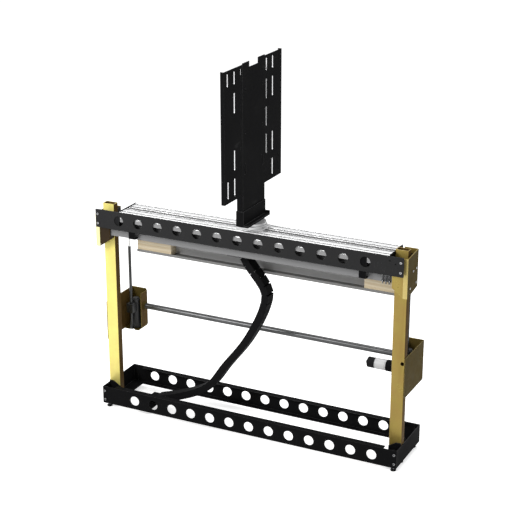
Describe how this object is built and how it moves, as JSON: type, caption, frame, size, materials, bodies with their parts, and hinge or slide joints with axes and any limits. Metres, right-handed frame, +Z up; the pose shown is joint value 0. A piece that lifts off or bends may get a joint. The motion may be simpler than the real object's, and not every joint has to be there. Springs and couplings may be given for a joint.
{
  "type": "electric display lift",
  "caption": "Steel base with posts carrying a motor driven lift frame, whose rails hold a sliding, swivelling column with slotted display plates.",
  "frame": {"origin": "on the floor, midway along the frame and in line with the head's turning axis in Y, the centre of the bounding box", "axes": "X along the frame, Y from the front beam to the rear beam, Z up"},
  "size_m": [1.532, 0.544, 1.747],
  "materials": {
    "base_front_beam": "satin powder coat",
    "base_rear_beam": "satin powder coat",
    "base_end_left": "satin powder coat",
    "base_end_right": "satin powder coat",
    "corner_gussets": "satin powder coat",
    "base_feet": "matte",
    "post_left": "yellow passivated zinc",
    "post_right": "yellow passivated zinc",
    "drive_bracket_left": "yellow passivated zinc",
    "drive_bracket_right": "yellow passivated zinc",
    "jack_housing_left": "dark oxide",
    "jack_housing_right": "dark oxide",
    "lift_nut_left": "ground steel",
    "lift_nut_right": "ground steel",
    "cross_shaft": "ground steel",
    "shaft_bearings": "dark oxide",
    "gear_case": "dark oxide",
    "shaft_gear": "ground steel",
    "motor_pinion": "ground steel",
    "motor_cap": "matte",
    "motor_can": "satin",
    "motor_ring": "satin powder coat",
    "upper_beam": "satin powder coat",
    "carriage_left": "yellow passivated zinc",
    "carriage_right": "yellow passivated zinc",
    "front_guide_left": "matte",
    "front_guide_right": "yellow passivated zinc",
    "rear_guides": "matte",
    "beam_spacers": "matte",
    "rail_front": "satin anodised",
    "rail_rear": "satin anodised",
    "rail_ends": "satin powder coat",
    "cross_rail": "satin anodised",
    "hangers": "satin powder coat",
    "tray": "satin grey paint",
    "wood_blocks": "planed",
    "lift_screw_left": "dark oxide",
    "lift_screw_right": "dark oxide",
    "lift_arms": "zinc plated",
    "head_slider": "satin anodised",
    "turntable": "satin grey paint",
    "foot_bracket": "satin powder coat",
    "column": "satin powder coat",
    "display_plate_left": "satin powder coat",
    "display_plate_right": "satin powder coat",
    "plate_screws": "zinc plated",
    "base_screws": "zinc plated",
    "upper_screws": "zinc plated",
    "carriage_screws": "zinc plated",
    "tie_bolts": "zinc plated",
    "cable_chain": "matte",
    "chain_foot": "zinc plated",
    "chain_head": "zinc plated"
  },
  "bodies": {
    "base": {"base_front_beam": "base_front_beam", "base_rear_beam": "base_rear_beam", "base_end_left": "base_end_left", "base_end_right": "base_end_right", "corner_gussets": "corner_gussets", "base_feet": "base_feet", "post_left": "post_left", "post_right": "post_right", "drive_bracket_left": "drive_bracket_left", "drive_bracket_right": "drive_bracket_right", "jack_housing_left": "jack_housing_left", "jack_housing_right": "jack_housing_right", "shaft_bearings": "shaft_bearings", "gear_case": "gear_case", "motor_cap": "motor_cap", "motor_can": "motor_can", "motor_ring": "motor_ring", "base_screws": "base_screws", "chain_foot": "chain_foot", "cable_chain": "cable_chain"},
    "lift_frame": {"upper_beam": "upper_beam", "carriage_left": "carriage_left", "carriage_right": "carriage_right", "front_guide_left": "front_guide_left", "front_guide_right": "front_guide_right", "rear_guides": "rear_guides", "beam_spacers": "beam_spacers", "rail_front": "rail_front", "rail_rear": "rail_rear", "rail_ends": "rail_ends", "cross_rail": "cross_rail", "hangers": "hangers", "tray": "tray", "wood_blocks": "wood_blocks", "lift_screw_left": "lift_screw_left", "lift_screw_right": "lift_screw_right", "lift_arms": "lift_arms", "upper_screws": "upper_screws", "carriage_screws": "carriage_screws", "tie_bolts": "tie_bolts", "chain_head": "chain_head"},
    "slider": {"head_slider": "head_slider"},
    "head": {"turntable": "turntable", "foot_bracket": "foot_bracket", "column": "column", "display_plate_left": "display_plate_left", "display_plate_right": "display_plate_right", "plate_screws": "plate_screws"},
    "shaft": {"cross_shaft": "cross_shaft", "shaft_gear": "shaft_gear"},
    "pinion": {"motor_pinion": "motor_pinion"},
    "nut_left": {"lift_nut_left": "lift_nut_left"},
    "nut_right": {"lift_nut_right": "lift_nut_right"}
  },
  "joints": [
    {"name": "lift", "type": "slide", "parent": "base", "child": "lift_frame", "axis": [0, 0, -1], "range_m": [0, 0.25], "deforming": ["cable_chain"]},
    {"name": "head_slide", "type": "slide", "parent": "lift_frame", "child": "slider", "axis": [1, 0, 0], "range_m": [-0.3, 0.3]},
    {"name": "head_swivel", "type": "hinge", "parent": "slider", "child": "head", "pos_m": [0.017, 0, 1.02], "axis": [0, 0, 1], "range_deg": [-180, 0]},
    {"name": "shaft_spin", "type": "hinge", "parent": "base", "child": "shaft", "pos_m": [0, 0.189, 0.441], "axis": [1, 0, 0], "range_deg": [-1, 4501]},
    {"name": "pinion_spin", "type": "hinge", "parent": "base", "child": "pinion", "pos_m": [0.6, 0.157, 0.392], "axis": [1, 0, 0], "range_deg": [-4154.85, 1]},
    {"name": "nut_left_spin", "type": "hinge", "parent": "base", "child": "nut_left", "pos_m": [-0.704, 0.128, 0.446], "axis": [0, 0, 1], "range_deg": [-1, 4501]},
    {"name": "nut_right_spin", "type": "hinge", "parent": "base", "child": "nut_right", "pos_m": [0.704, 0.128, 0.446], "axis": [0, 0, 1], "range_deg": [-4501, 1]}
  ],
  "couplings": [
    {"joint": "shaft_spin", "follows": "lift", "rad_per_m": 314.16},
    {"joint": "pinion_spin", "follows": "lift", "rad_per_m": -289.99},
    {"joint": "nut_left_spin", "follows": "lift", "rad_per_m": 314.16},
    {"joint": "nut_right_spin", "follows": "lift", "rad_per_m": -314.16}
  ]
}
